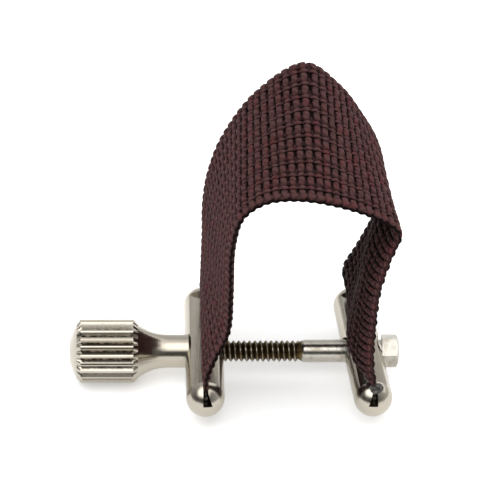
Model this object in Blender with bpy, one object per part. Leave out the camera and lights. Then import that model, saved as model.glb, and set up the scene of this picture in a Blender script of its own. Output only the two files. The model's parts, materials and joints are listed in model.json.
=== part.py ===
"""Saxophone ligature: a woven band held in two slotted bars, drawn together by one bolt and a thumb knob.

Metres, +Z up. The bolt lies along X, the bars lie along Y and the band arches over them.
Sizes are in millimetres, with x counted from the left bar's axis and z from the bolt's axis,
and place() turns them into the frame: the origin is under the middle of the whole object's box.
"""

import math

import bmesh
import bpy
from mathutils import Vector

MM = 0.001
MERGE = 1e-7
SHARP_ANGLE = math.radians(35.0)
X_AXIS = Vector((1.0, 0.0, 0.0))
Y_AXIS = Vector((0.0, 1.0, 0.0))
Z_AXIS = Vector((0.0, 0.0, 1.0))

# Bars: round rods with domed ends, milled flat on top between the domes.
BAR_RADIUS = 2.5
BAR_HALF = 9.75
FLAT_HEIGHT = 1.85
SLOT_FLOOR = 0.33
SLOT_MOUTH_WIDTH = 0.74
SLOT_FLOOR_WIDTH = 1.02
BAR_STEPS = 32
DOME_STEPS = 7
HOLE_HEIGHT = 3.3
LEFT_HOLE_WIDTH = 3.3
RIGHT_HOLE_WIDTH = 4.1
SPOT_FACE_DEPTH = 0.28
SPOT_FACE_RADIUS = 2.9
CUT_MARGIN = 1.0

# How the two bars stand on the bolt.
RIGHT_BAR_X = 20.6
RIGHT_BAR_YAW = math.radians(5.0)

# Bolt: hexagon head outside the right bar, plain shank, thread through the left bar into the knob.
BOLT_END = -8.0
THREAD_RADIUS = 1.42
THREAD_ROOT = 1.12
THREAD_PITCH = 0.7
THREAD_FINISH = 12.4
SHANK_START = 13.1
SHANK_RADIUS = 1.5
HEAD_START = 23.2
HEAD_FINISH = 25.25
HEAD_ACROSS_FLATS = 3.8
HEAD_CHAMFER = 0.28
HEAD_TURN = math.radians(10.0)
HEAD_STEPS = 48
THREAD_STEPS = 16
THREAD_STATIONS = 4

# Knob: domed end, fluted grip, flare and a neck that bears on the left bar.
KNOB_RADIUS = 4.1
KNOB_DOME = ((-17.4, 0.0), (-17.4, 1.55), (-17.18, 2.2), (-16.65, 3.1), (-16.1, 3.95))
KNOB_GRIP_START = -16.0
KNOB_GRIP_FINISH = -9.2
KNOB_FLARE_START = -8.95
KNOB_FLARE_FINISH = -5.3
KNOB_FLARE_RADIUS = 3.55
KNOB_FLARE_STEPS = 5
KNOB_NECK_RADIUS = 2.17
KNOB_NECK_END = -2.27
KNOB_NECK_CHAMFER = 0.12
KNOB_BORE_RADIUS = 1.58
KNOB_BORE_FLOOR = -16.3
FLUTES = 22
FLUTE_DEPTH = 0.5
FLUTE_END_DEPTH = 0.15
FLUTE_RUN_OUT = 0.35

# Band: woven strap. Each rail is an edge of the band, from the left bar over the top to the right bar.
BAND_THICKNESS = 1.1
TONGUE_THICKNESS = 0.5
TONGUE_HEIGHTS = (0.98, 1.7, 2.3)
TONGUE_TOP = 2.7
BAND_FULL = 3.8
BAND_FRONT = -10.9
BAND_BACK = 10.6
CROWN_PULL = 0.8
BAND_ACROSS = 8
BAND_SUBSTEPS = 4
NOTCH_HALF = 2.15
NOTCH_TOP = 2.05
FRONT_RAIL = (
    (0.0, 3.2), (0.0, 4.6), (0.6, 7.2), (2.0, 11.1), (2.6, 16.5), (2.8, 23.3), (4.0, 28.3), (7.0, 31.0),
    (11.2, 31.5), (15.6, 30.7), (20.0, 29.1), (23.0, 27.2), (23.7, 25.5), (22.7, 22.5), (21.5, 17.5),
    (21.1, 12.0), (21.0, 7.2), (21.3, 4.0),
)
BACK_RAIL = (
    (0.0, 3.2), (-0.1, 5.0), (-0.1, 8.0), (-0.1, 12.0), (0.0, 17.0), (0.7, 22.0), (2.5, 27.4), (6.3, 33.5),
    (11.8, 37.7), (16.3, 34.6), (19.4, 30.4), (21.4, 26.7), (22.4, 23.2), (22.9, 19.5), (22.2, 14.8),
    (19.9, 9.5), (18.0, 6.1), (18.6, 4.0),
)
RIGHT_LEG_CUP = 0.9
RIGHT_LEG_FROM = 0.62
RIGHT_LEG_RISE = 0.1
RIGHT_LEG_FALL = 0.12

# Bonds: the cured adhesive that keys the band's ends in the slots.
BOND_GAP = 0.05
BOND_TOP = 0.9
BOND_INNER = 2.0
BOND_OUTER = 11.3

# Frame: the bolt's height over the ground and the left bar's distance from the origin.
AXIS_HEIGHT = KNOB_RADIUS
ORIGIN_X = 3.925


def place(x, y, z):
    """Frame position in metres of a point in millimetres from the left bar's axis and the bolt's axis."""
    return Vector((x - ORIGIN_X, y, z + AXIS_HEIGHT)) * MM


def material(name, colour, roughness, metallic):
    """Principled material in linear colour."""
    made = bpy.data.materials.new(name)
    made.use_nodes = True
    shader = made.node_tree.nodes["Principled BSDF"]
    shader.inputs["Base Color"].default_value = (*colour, 1.0)
    shader.inputs["Roughness"].default_value = roughness
    shader.inputs["Metallic"].default_value = metallic
    return made


def put(name, bm, location, finish=None):
    """Turn a bmesh in millimetres into an object in metres, its origin at location."""
    bmesh.ops.scale(bm, vec=(MM, MM, MM), verts=bm.verts)
    bmesh.ops.recalc_face_normals(bm, faces=bm.faces)
    mesh = bpy.data.meshes.new(name)
    bm.to_mesh(mesh)
    bm.free()
    made = bpy.data.objects.new(name, mesh)
    made.location = location
    bpy.context.scene.collection.objects.link(made)
    if finish is not None:
        mesh.materials.append(finish)
        mesh.shade_smooth()
        mesh.set_sharp_from_angle(angle=SHARP_ANGLE)
    return made


def cutter(name, bm, owner, operation="DIFFERENCE"):
    """Hide a tool shape under its owner and cut, join or trim the owner with it."""
    tool = put(name, bm, (0.0, 0.0, 0.0))
    tool.parent = owner
    tool.hide_render = True
    tool.display_type = "WIRE"
    cut = owner.modifiers.new(name, "BOOLEAN")
    cut.operation = operation
    cut.solver = "EXACT"
    cut.object = tool


def turned(profile, steps, axis, across):
    """Bmesh turned about an axis through (along, radius) points that start and finish on the axis."""
    bm = bmesh.new()
    points = [bm.verts.new(axis * along + across * radius) for along, radius in profile]
    edges = [bm.edges.new(pair) for pair in zip(points, points[1:])]
    bmesh.ops.spin(bm, geom=points + edges, cent=(0, 0, 0), axis=axis, angle=math.tau, steps=steps)
    bmesh.ops.remove_doubles(bm, verts=bm.verts, dist=MERGE / MM)
    return bm


def prism(outline, direction):
    """Bmesh prism: a planar outline of points, extruded along a direction."""
    bm = bmesh.new()
    base = bm.faces.new([bm.verts.new(point) for point in outline])
    grown = bmesh.ops.extrude_face_region(bm, geom=[base])
    tips = [item for item in grown["geom"] if isinstance(item, bmesh.types.BMVert)]
    bmesh.ops.translate(bm, vec=direction, verts=tips)
    return bm


def lofted(rings):
    """Bmesh through rings of the same number of points, with a flat cap on the first and the last."""
    bm = bmesh.new()
    rows = [[bm.verts.new(point) for point in ring] for ring in rings]
    count = len(rows[0])
    for low, high in zip(rows, rows[1:]):
        for step in range(count):
            after = (step + 1) % count
            bm.faces.new((low[step], low[after], high[after], high[step]))
    bm.faces.new(rows[0])
    bm.faces.new(reversed(rows[-1]))
    return bm


def bar_profile():
    """Half outline of a bar along Y: a dome, the straight rod and a dome."""
    dome = [
        (BAR_HALF + BAR_RADIUS * math.cos(angle), BAR_RADIUS * math.sin(angle))
        for angle in (math.pi / 2 * step / DOME_STEPS for step in range(DOME_STEPS + 1))
    ]
    far = [(-along, radius) for along, radius in reversed(dome)]
    return dome + far


def slot_outline(y):
    """The slot's section at y: narrow at the mouth, with one upright wall and one undercut wall."""
    left = -SLOT_MOUTH_WIDTH / 2
    top = BAR_RADIUS + CUT_MARGIN
    return (
        Vector((left, y, SLOT_FLOOR)),
        Vector((left + SLOT_FLOOR_WIDTH, y, SLOT_FLOOR)),
        Vector((left + SLOT_MOUTH_WIDTH, y, FLAT_HEIGHT)),
        Vector((left + SLOT_MOUTH_WIDTH, y, top)),
        Vector((left, y, top)),
    )


def mirrored(points, side):
    """Points mirrored in X for side -1."""
    return [Vector((point.x * side, point.y, point.z)) for point in points]


def hole_outline(x, width):
    """A round-ended hole's section, HOLE_HEIGHT high and width wide, in the plane at x."""
    radius = HOLE_HEIGHT / 2
    shift = (width - HOLE_HEIGHT) / 2
    points = []
    for step in range(BAR_STEPS):
        angle = math.tau * (step + 0.5) / BAR_STEPS
        side = 1.0 if math.cos(angle) > 0 else -1.0
        points.append(Vector((x, side * shift + radius * math.cos(angle), radius * math.sin(angle))))
    return points


def make_bar(name, x, yaw, outer, hole_width, finish):
    """One slotted bar; outer is the side, -1 or 1, that the knob or the head bears on."""
    long = BAR_HALF + BAR_RADIUS + CUT_MARGIN
    wide = BAR_RADIUS + CUT_MARGIN
    bar = put(name, turned(bar_profile(), BAR_STEPS, Y_AXIS, Z_AXIS), place(x, 0, 0), finish)
    bar.rotation_euler.z = yaw
    flat = [Vector((sx * wide, sy * BAR_HALF, FLAT_HEIGHT)) for sx, sy in ((-1, -1), (1, -1), (1, 1), (-1, 1))]
    cutter(name + "_milled_flat", prism(flat, Z_AXIS * wide), bar)
    slot = mirrored(slot_outline(-long), -outer)
    cutter(name + "_slot_cut", prism(slot, Y_AXIS * 2 * long), bar)
    cutter(name + "_hole_cut", prism(hole_outline(-wide, hole_width), X_AXIS * 2 * wide), bar)
    face = outer * (BAR_RADIUS - SPOT_FACE_DEPTH)
    ring = [
        Vector((face, SPOT_FACE_RADIUS * math.cos(angle), SPOT_FACE_RADIUS * math.sin(angle)))
        for angle in (math.tau * step / BAR_STEPS for step in range(BAR_STEPS))
    ]
    cutter(name + "_spot_face_cut", prism(ring, X_AXIS * outer * wide), bar)
    return bar


def make_bond(name, bar, outer, side, finish):
    """Cured adhesive in a bar's slot, on one side of the bolt: -1 in front of it, 1 behind it."""
    left = -SLOT_MOUTH_WIDTH / 2
    slope = (SLOT_FLOOR_WIDTH - SLOT_MOUTH_WIDTH) / (FLAT_HEIGHT - SLOT_FLOOR)
    section = []
    for height, undercut in ((SLOT_FLOOR + BOND_GAP, False), (SLOT_FLOOR + BOND_GAP, True),
                             (BOND_TOP, True), (BOND_TOP, False)):
        far = left + SLOT_FLOOR_WIDTH - slope * (height - SLOT_FLOOR) - BOND_GAP
        section.append(Vector((far if undercut else left + BOND_GAP, side * BOND_INNER, height)))
    run = prism(mirrored(section, -outer), Y_AXIS * side * (BOND_OUTER - BOND_INNER))
    bond = put(name, run, (0.0, 0.0, 0.0), finish)
    bond.parent = bar
    return bond


def thread_radius(x, angle):
    """The thread's radius at a point: a V that climbs one pitch each turn."""
    phase = (x / THREAD_PITCH - angle / math.tau) % 1.0
    return THREAD_ROOT + (THREAD_RADIUS - THREAD_ROOT) * abs(2.0 * phase - 1.0)


def make_bolt(finish):
    """Bolt: thread, run-out and shank as one loft, joined to a chamfered hexagon head."""
    angles = [math.tau * step / THREAD_STEPS for step in range(THREAD_STEPS)]
    count = round((THREAD_FINISH - BOLT_END) / THREAD_PITCH * THREAD_STATIONS)
    rings = []
    for station in range(count + 1):
        x = BOLT_END + (THREAD_FINISH - BOLT_END) * station / count
        rings.append([Vector((x, thread_radius(x, a) * math.cos(a), thread_radius(x, a) * math.sin(a)))
                      for a in angles])
    for x in (SHANK_START, (HEAD_START + HEAD_FINISH) / 2):
        rings.append([Vector((x, SHANK_RADIUS * math.cos(a), SHANK_RADIUS * math.sin(a))) for a in angles])
    bolt = put("bolt", lofted(rings), place(0, 0, 0), finish)
    corner = HEAD_ACROSS_FLATS / math.sqrt(3.0)
    corners = [HEAD_TURN + math.pi / 6 + math.pi / 3 * side for side in range(6)]
    hexagon = [
        [Vector((x, -corner * math.sin(a), corner * math.cos(a))) for a in corners]
        for x in (HEAD_START, HEAD_FINISH)
    ]
    blank = turned(
        (
            (HEAD_START - CUT_MARGIN, 0.0),
            (HEAD_START - CUT_MARGIN, corner + CUT_MARGIN),
            (HEAD_FINISH - HEAD_CHAMFER, corner),
            (HEAD_FINISH, corner - 2 * HEAD_CHAMFER),
            (HEAD_FINISH, 0.0),
        ),
        HEAD_STEPS, X_AXIS, Z_AXIS,
    )
    head = put("bolt_head_hexagon", lofted(hexagon), (0.0, 0.0, 0.0))
    head.parent = bolt
    head.hide_render = True
    head.display_type = "WIRE"
    cutter("bolt_head_blank", blank, head, "INTERSECT")
    join = bolt.modifiers.new("head", "BOOLEAN")
    join.operation = "UNION"
    join.solver = "EXACT"
    join.object = head
    return bolt


def knob_profile():
    """The knob's half outline along X: domed end, grip, flare, neck, then back down the bore."""
    outline = list(KNOB_DOME)
    outline += [(x, KNOB_RADIUS) for x in (
        KNOB_GRIP_START, KNOB_GRIP_START + FLUTE_RUN_OUT, KNOB_GRIP_FINISH - FLUTE_RUN_OUT, KNOB_GRIP_FINISH)]
    for step in range(KNOB_FLARE_STEPS + 1):
        share = step / KNOB_FLARE_STEPS
        along = KNOB_FLARE_START + (KNOB_FLARE_FINISH - KNOB_FLARE_START) * share
        outline.append((along, KNOB_NECK_RADIUS + (KNOB_FLARE_RADIUS - KNOB_NECK_RADIUS) * (1.0 - share) ** 2))
    outline += [
        (KNOB_NECK_END - KNOB_NECK_CHAMFER, KNOB_NECK_RADIUS),
        (KNOB_NECK_END, KNOB_NECK_RADIUS - KNOB_NECK_CHAMFER),
        (KNOB_NECK_END, KNOB_BORE_RADIUS),
        (KNOB_BORE_FLOOR, KNOB_BORE_RADIUS),
        (KNOB_BORE_FLOOR, 0.0),
    ]
    return outline


def make_knob(finish):
    """Thumb knob: a turned blank whose grip is pulled in between its ridges to make V flutes."""
    bm = turned(knob_profile(), FLUTES * 2, X_AXIS, Z_AXIS)
    slack = FLUTE_RUN_OUT / 4
    for vert in bm.verts:
        radius = math.hypot(vert.co.y, vert.co.z)
        inset = min(vert.co.x - KNOB_GRIP_START, KNOB_GRIP_FINISH - vert.co.x)
        turn = round(math.atan2(vert.co.y, vert.co.z) / math.tau * FLUTES * 2)
        if inset > -MERGE / MM and radius > KNOB_BORE_RADIUS + slack and turn % 2:
            depth = FLUTE_END_DEPTH if inset < slack else FLUTE_DEPTH
            vert.co.y *= (radius - depth) / radius
            vert.co.z *= (radius - depth) / radius
    return put("knob", bm, place(0, 0, 0), finish)


def smooth_rail(points, substeps):
    """Points on a Catmull-Rom curve through the given points."""
    rail = [Vector(point) for point in points]
    ends = [rail[0] * 2 - rail[1]] + rail + [rail[-1] * 2 - rail[-2]]
    curve = []
    for index in range(len(rail) - 1):
        a, b, c, d = ends[index:index + 4]
        for step in range(substeps):
            t = step / substeps
            curve.append(
                0.5 * (2 * b + (c - a) * t + (2 * a - 5 * b + 4 * c - d) * t**2 + (3 * b - 3 * c + d - a) * t**3)
            )
    curve.append(rail[-1])
    return curve


def tongue(front, back):
    """Rows of a band's end in its slot, upward from the slot's floor; front and back are its (x, y) edges."""
    return [((*front, height), (*back, height)) for height in TONGUE_HEIGHTS]


def band_rows():
    """The band's middle surface: rows of points from the back edge to the front edge."""
    front = smooth_rail(FRONT_RAIL, BAND_SUBSTEPS)
    back = smooth_rail(BACK_RAIL, BAND_SUBSTEPS)
    edges = tongue((0.0, BAND_FRONT), (0.0, BAND_BACK))
    count = len(front) - 1
    for index, (near, far) in enumerate(zip(front, back)):
        pull = CROWN_PULL * math.sin(math.pi * index / count)
        edges.append(((near.x, BAND_FRONT + pull, near.y), (far.x, BAND_BACK - pull, far.y)))
    lean = math.sin(RIGHT_BAR_YAW)
    square = math.cos(RIGHT_BAR_YAW)
    right = [(RIGHT_BAR_X - y * lean, y * square) for y in (BAND_FRONT, BAND_BACK)]
    edges += reversed(tongue(*right))
    rows = []
    for index, (near, far) in enumerate(edges):
        share = index / (len(edges) - 1)
        leg = max(0.0, min(1.0, (share - RIGHT_LEG_FROM) / RIGHT_LEG_RISE, (1.0 - share) / RIGHT_LEG_FALL))
        row = []
        for step in range(BAND_ACROSS + 1):
            across = step / BAND_ACROSS
            point = Vector(far).lerp(Vector(near), across)
            point.x -= RIGHT_LEG_CUP * leg * math.sin(math.pi * across)
            row.append(point)
        rows.append(row)
    return rows


def band_thickness(height):
    """Thickness at a height over the bolt: thin where the slot nips the band, full above it."""
    share = max(0.0, min(1.0, (height - TONGUE_TOP) / (BAND_FULL - TONGUE_TOP)))
    return TONGUE_THICKNESS + (BAND_THICKNESS - TONGUE_THICKNESS) * share


def make_band(finish):
    """Band: a solid sheet of the woven strap's thickness, notched where the bolt passes its ends."""
    rows = band_rows()
    count = len(rows)
    width = len(rows[0])
    faces = ([], [])
    for i, row in enumerate(rows):
        for j, point in enumerate(row):
            along = rows[min(i + 1, count - 1)][j] - rows[max(i - 1, 0)][j]
            across = row[min(j + 1, width - 1)] - row[max(j - 1, 0)]
            half = along.cross(across).normalized() * band_thickness(point.z) / 2
            faces[0].append(point + half)
            faces[1].append(point - half)
    bm = bmesh.new()
    one, two = ([bm.verts.new(point) for point in side] for side in faces)
    for i in range(count - 1):
        for j in range(width - 1):
            a = i * width + j
            b = a + width
            bm.faces.new((one[a], one[a + 1], one[b + 1], one[b]))
            bm.faces.new((two[a], two[b], two[b + 1], two[a + 1]))
    rim = [i * width for i in range(count)]
    rim += [(count - 1) * width + j for j in range(1, width)]
    rim += [i * width + width - 1 for i in range(count - 2, -1, -1)]
    rim += list(range(width - 2, 0, -1))
    for a, b in zip(rim, rim[1:] + rim[:1]):
        bm.faces.new((one[a], one[b], two[b], two[a]))
    band = put("band", bm, place(0, 0, 0), finish)
    for name, x in (("band_left_notch", 0.0), ("band_right_notch", RIGHT_BAR_X)):
        corners = [
            Vector((x + sx * BAR_RADIUS, sy * NOTCH_HALF, 0.0)) for sx, sy in ((-1, -1), (1, -1), (1, 1), (-1, 1))
        ]
        cutter(name, prism(corners, Z_AXIS * NOTCH_TOP), band)
    return band


def main():
    """Clear the scene and make the ligature."""
    for old in list(bpy.data.objects):
        bpy.data.objects.remove(old)
    nickel = material("nickel_plate", (0.62, 0.6, 0.56), 0.25, 1.0)
    worn = material("worn_nickel_plate", (0.5, 0.46, 0.4), 0.35, 1.0)
    webbing = material("woven_webbing", (0.06, 0.03, 0.035), 0.7, 0.0)
    adhesive = material("cured_adhesive", (0.25, 0.24, 0.23), 0.55, 0.0)
    left_bar = make_bar("left_bar", 0.0, 0.0, -1, LEFT_HOLE_WIDTH, nickel)
    right_bar = make_bar("right_bar", RIGHT_BAR_X, RIGHT_BAR_YAW, 1, RIGHT_HOLE_WIDTH, nickel)
    for end, side in (("front", -1), ("back", 1)):
        make_bond("left_bond_" + end, left_bar, -1, side, adhesive)
        make_bond("right_bond_" + end, right_bar, 1, side, adhesive)
    make_bolt(worn)
    make_knob(nickel)
    make_band(webbing)


main()
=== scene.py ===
"""Looks of a saxophone ligature: plated metal, cured adhesive and a strap woven from cord.

The metal pieces are turned and cut about the world's origin, with the bolt along X, and then moved to their
places in the frame. The strap's yarns follow its middle surface, which is drawn between its two edges.
"""

import json
import math

import bmesh
import bpy
import numpy as np
from mathutils import Matrix, Vector


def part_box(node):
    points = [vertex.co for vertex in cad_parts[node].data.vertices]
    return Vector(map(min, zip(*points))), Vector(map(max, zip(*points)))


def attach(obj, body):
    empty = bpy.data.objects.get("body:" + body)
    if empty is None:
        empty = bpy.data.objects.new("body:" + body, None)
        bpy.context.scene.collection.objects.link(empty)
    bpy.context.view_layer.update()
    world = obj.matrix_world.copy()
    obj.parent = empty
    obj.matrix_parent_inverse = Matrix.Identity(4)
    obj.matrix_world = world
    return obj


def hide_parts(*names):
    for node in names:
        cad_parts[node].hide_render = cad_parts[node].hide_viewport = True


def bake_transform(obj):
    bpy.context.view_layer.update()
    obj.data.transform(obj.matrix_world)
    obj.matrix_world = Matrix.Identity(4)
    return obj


bl_info = {
    "name": "Woven Ligature",
    "version": (1, 0, 0),
    "blender": (4, 5, 0),
    "location": "3D View > Sidebar > Ligature",
    "description": "Builds the metal, adhesive and woven strap of a saxophone ligature round its frame",
    "category": "Object",
}

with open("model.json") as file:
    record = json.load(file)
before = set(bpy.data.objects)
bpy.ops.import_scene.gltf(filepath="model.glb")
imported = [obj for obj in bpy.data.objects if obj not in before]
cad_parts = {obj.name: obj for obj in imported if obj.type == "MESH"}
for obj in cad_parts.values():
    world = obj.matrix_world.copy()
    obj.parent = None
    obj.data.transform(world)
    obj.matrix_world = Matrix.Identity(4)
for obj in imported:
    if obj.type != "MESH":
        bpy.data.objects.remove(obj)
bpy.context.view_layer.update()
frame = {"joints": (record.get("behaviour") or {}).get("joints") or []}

MM = 0.001
# Two places closer than this count as one place, in metres.
SAME_PLACE = 1e-6
JOINTS = {joint["name"]: joint for joint in frame["joints"]}
AXIS_HEIGHT = JOINTS["knob_spin"]["pos_m"][2]
LEFT_BAR_X = sum(corner.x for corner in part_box("left_bar")) / 2
RIGHT_BAR_X = JOINTS["right_bar_swivel"]["pos_m"][0]
BAR_GAP = RIGHT_BAR_X - LEFT_BAR_X


def length(name, description, default):
    """A size in metres for a property group, from a default in millimetres."""
    return bpy.props.FloatProperty(
        name=name, description=description, default=default * MM, precision=5,
        subtype="DISTANCE", unit="LENGTH",
    )


def turn(name, description, default):
    """An angle for a property group, from a default in degrees."""
    return bpy.props.FloatProperty(
        name=name, description=description, default=math.radians(default), subtype="ANGLE", unit="ROTATION"
    )


def count(name, description, default):
    """A whole number for a property group."""
    return bpy.props.IntProperty(name=name, description=description, default=default, min=1)


def linear(code):
    """Linear colour of an sRGB hex code."""
    values = [int(code[start:start + 2], 16) / 255 for start in (1, 3, 5)]
    return tuple(v / 12.92 if v <= 0.04045 else ((v + 0.055) / 1.055) ** 2.4 for v in values)


def colour(name, description, code):
    """A colour for a property group, from an sRGB hex code."""
    return bpy.props.FloatVectorProperty(
        name=name, description=description, default=linear(code), size=3, min=0.0, max=1.0, subtype="COLOR"
    )


class BarSizes(bpy.types.PropertyGroup):
    """The two slotted bars that hold the strap's ends."""

    radius: length("Radius", "Radius of the round rod and of its domed ends", 2.5)
    half: length("Half length", "From the bolt to the middle of a dome", 9.75)
    flat: length("Flat height", "Height of the milled flat over the rod's axis", 1.85)
    edge: length("Edge radius", "Polished round along the flat's long edges", 0.34)
    slot_mouth: length("Slot mouth", "Width of the slot at the flat", 0.66)
    slot_floor: length("Slot floor", "Width of the slot at its floor", 1.22)
    slot_height: length("Slot floor height", "Height of the slot's floor over the rod's axis", 0.33)
    hole: length("Hole height", "Height of the hole for the bolt", 3.3)
    play: length("Hole play", "Extra width of the right bar's hole, which lets that bar swivel", 0.8)
    spot_depth: length("Spot face depth", "Depth of the right bar's flat under the head", 0.28)
    spot_radius: length("Spot face radius", "Radius of the cutter of that flat", 2.9)
    seat_depth: length("Knob seat depth", "Depth of the left bar's counterbore for the knob's neck", 0.62)
    seat_radius: length("Knob seat radius", "Radius of that counterbore", 2.26)
    yaw: turn("Right bar yaw", "How far the right bar stands out of square with the bolt", 5.0)


class BoltSizes(bpy.types.PropertyGroup):
    """The bolt with its hexagon head."""

    end: length("Tip", "Where the bolt ends inside the knob", -8.0)
    pitch: length("Pitch", "Advance of the thread in one turn", 0.7)
    thread: length("Thread radius", "Radius over the thread's crests", 1.42)
    root: length("Root radius", "Radius at the thread's roots", 1.0)
    crest: length("Crest flat", "Bevel of the thread's crest", 0.07)
    run_out: length("Run-out", "Where the thread stops", 12.4)
    shank_start: length("Shank start", "Where the plain shank has its full radius", 12.95)
    shank: length("Shank radius", "Radius of the plain shank", 1.5)
    head_start: length("Head start", "The head's inner face", 23.08)
    head_end: length("Head end", "The head's outer face", 25.25)
    across_flats: length("Across flats", "Width of the hexagon over its flats", 3.8)
    chamfer: length("Head chamfer", "Chamfer turned on the head's corners", 0.3)
    head_turn: turn("Head turn", "Turn of the hexagon about the bolt", 10.0)


class KnobSizes(bpy.types.PropertyGroup):
    """The fluted thumb knob."""

    flutes: count("Flutes", "Number of V flutes round the grip", 22)
    end: length("Domed end", "The middle of the domed end", -17.4)
    radius: length("Grip radius", "Radius over the ridges", 4.1)
    flute: length("Flute depth", "Depth of a flute under the ridges", 0.52)
    grip_start: length("Grip start", "Where the ridges start at the domed end", -16.0)
    grip_end: length("Grip end", "Where the ridges stop before the flare", -9.2)
    flare: length("Flare length", "Length of the hollow flare from the grip to the neck", 3.9)
    neck: length("Neck radius", "Radius of the neck", 2.17)
    neck_end: length("Neck end", "Where the neck ends in the left bar's counterbore", -1.93)
    bore: length("Bore radius", "Radius of the bore for the bolt", 1.58)
    bore_floor: length("Bore floor", "How far the bore goes in", -16.65)
    turn: turn("Turn", "Turn of the flutes about the bolt", 4.9)


class StrapSizes(bpy.types.PropertyGroup):
    """The strap and its weave."""

    front: length("Front edge", "Distance of the front edge from the bolt", 11.1)
    back: length("Back edge", "Distance of the back edge from the bolt", 10.95)
    pull: length("Crown pull", "How far both edges draw in at the crown", 0.8)
    cup: length("Cup", "How far the right leg hollows towards the mouthpiece", 1.75)
    cup_lean: bpy.props.FloatProperty(
        name="Cup lean", description="Above 1, the hollow lies nearer the front", default=2.5
    )
    column: length("Weft spacing", "Distance from one weft crossing to the next", 1.13)
    row: length("Warp spacing", "Distance from one warp end to the next", 2.1)
    rows: count("Warp ends", "Number of warp ends on each face", 10)
    weft_wide: length("Weft half width", "Half width of a weft yarn lying flat", 0.47)
    weft_high: length("Weft half height", "Half height of a weft yarn", 0.27)
    warp_wide: length("Warp half width", "Half width of a warp yarn", 0.27)
    warp_high: length("Warp half height", "Half height of a warp yarn", 0.19)
    float_height: length("Float height", "Height of a weft float over the middle", 0.36)
    dip_height: length("Dip height", "Height of a weft yarn under a warp end", 0.03)
    binder_wide: length("Binder half width", "Half width of the sunk warp yarns between the others", 0.42)
    binder_swing: length("Binder swing", "How far the sunk warp yarns swing from gap to gap", 0.1)
    binder_shift: length("Binder shift", "How far the sunk warp yarns lie from the floats' middle", 0.34)
    wrap: length("Selvedge radius", "Radius in which the weft turns round the strap's edge", 0.2)
    cord: length("Edge cord", "Half thickness of the cord inside each edge", 0.27)
    mouth: length("Foot height", "Height over the bolt where the yarns go into the slots", 1.9)
    full: length("Full height", "Height over the bolt where the strap has its whole thickness", 4.3)


class FinishColours(bpy.types.PropertyGroup):
    """Colours of the materials."""

    nickel: colour("Nickel", "Bright nickel plate", "#b4b0a7")
    nickel_warm: colour("Warm nickel", "Nickel plate where it is thin over brass", "#aca291")
    grime: colour("Grime", "Oxide and oil in grooves", "#2c2419")
    brass: colour("Brass", "Brass that shows on the worn thread", "#6e5c3c")
    yarn: colour("Yarn", "Dyed nylon cord", "#523837")
    yarn_red: colour("Red yarn", "The redder fibres in the cord", "#5c3133")
    # The strap's painted shade also darkens its yarns towards this dark yarn colour.
    yarn_dark: colour("Dark yarn", "The cord's dye where it is deepest", "#150a0a")
    adhesive: colour("Adhesive", "Cured adhesive", "#6b6963")


class StageSettings(bpy.types.PropertyGroup):
    """Camera, floor and light."""

    azimuth: turn("Azimuth", "Turn of the view about the object", 2.5)
    elevation: turn("Elevation", "Height of the view over the level", 36.0)
    roll: turn("Roll", "Roll of the camera", 1.47)
    distance: length("Distance", "From the camera to the point it looks at", 500.0)
    aim_right: length("Aim right", "The point looked at, right of the left bar on the bolt", 5.974)
    aim_up: length("Aim up", "The point looked at, above the left bar on the bolt", 13.117)
    lens: bpy.props.FloatProperty(name="Lens", description="Focal length in millimetres", default=277.2)
    floor: colour("Floor", "Colour of the floor", "#f8f8f8")


def at(x, y=0.0, z=0.0):
    """Place in the frame, from the left bar's axis along the bolt, the bolt's line and the bolt's axis."""
    return Vector((LEFT_BAR_X + x, y, AXIS_HEIGHT + z))


# ---------------------------------------------------------------- modelling by hand


def only(piece):
    """Select this piece alone and make it active."""
    bpy.ops.object.select_all(action="DESELECT")
    piece.select_set(True)
    bpy.context.view_layer.objects.active = piece


def pick(piece, kind, test):
    """In edit mode, select the vertices (VERT), edges (EDGE) or faces (FACE) that pass a test."""
    bpy.ops.mesh.select_mode(type=kind)
    bpy.ops.mesh.select_all(action="DESELECT")
    mesh = bmesh.from_edit_mesh(piece.data)
    items = {"VERT": mesh.verts, "EDGE": mesh.edges, "FACE": mesh.faces}[kind]
    for item in items:
        if test(item):
            item.select_set(True)
    mesh.select_flush_mode()
    bmesh.update_edit_mesh(piece.data)


def turned(name, stations, sides):
    """Round piece along X: a disc drawn out and resized through (along, radius) stations."""
    along, radius = stations[0]
    bpy.ops.object.select_all(action="DESELECT")
    bpy.ops.mesh.primitive_circle_add(
        vertices=sides, radius=radius, fill_type="NGON", location=(along, 0, 0),
        rotation=(0, math.pi / 2, 0),
    )
    piece = bpy.context.object
    piece.name = name
    bpy.ops.object.transform_apply(location=True, rotation=True, scale=True)
    bpy.ops.object.mode_set(mode="EDIT")
    bpy.ops.mesh.select_all(action="SELECT")
    for x, new_radius in stations[1:]:
        bpy.ops.mesh.extrude_region_move(TRANSFORM_OT_translate={"value": (x - along, 0, 0)})
        ratio = new_radius / radius
        bpy.ops.transform.resize(value=(1, ratio, ratio), center_override=(x, 0, 0))
        along, radius = x, new_radius
    bpy.ops.mesh.select_all(action="SELECT")
    bpy.ops.mesh.normals_make_consistent(inside=False)
    bpy.ops.object.mode_set(mode="OBJECT")
    return piece


def block(low, high):
    """Plain box tool between two corners."""
    low, high = Vector(low), Vector(high)
    bpy.ops.object.select_all(action="DESELECT")
    bpy.ops.mesh.primitive_cube_add(size=1, location=(low + high) / 2, scale=high - low)
    bpy.ops.object.transform_apply(location=True, rotation=True, scale=True)
    return bpy.context.object


def apply_modifier(piece, kind, **settings):
    """Add a modifier with its settings and apply it."""
    only(piece)
    bpy.ops.object.modifier_add(type=kind)
    added = piece.modifiers[-1]
    for key, value in settings.items():
        setattr(added, key, value)
    bpy.ops.object.modifier_apply(modifier=added.name)


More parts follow.
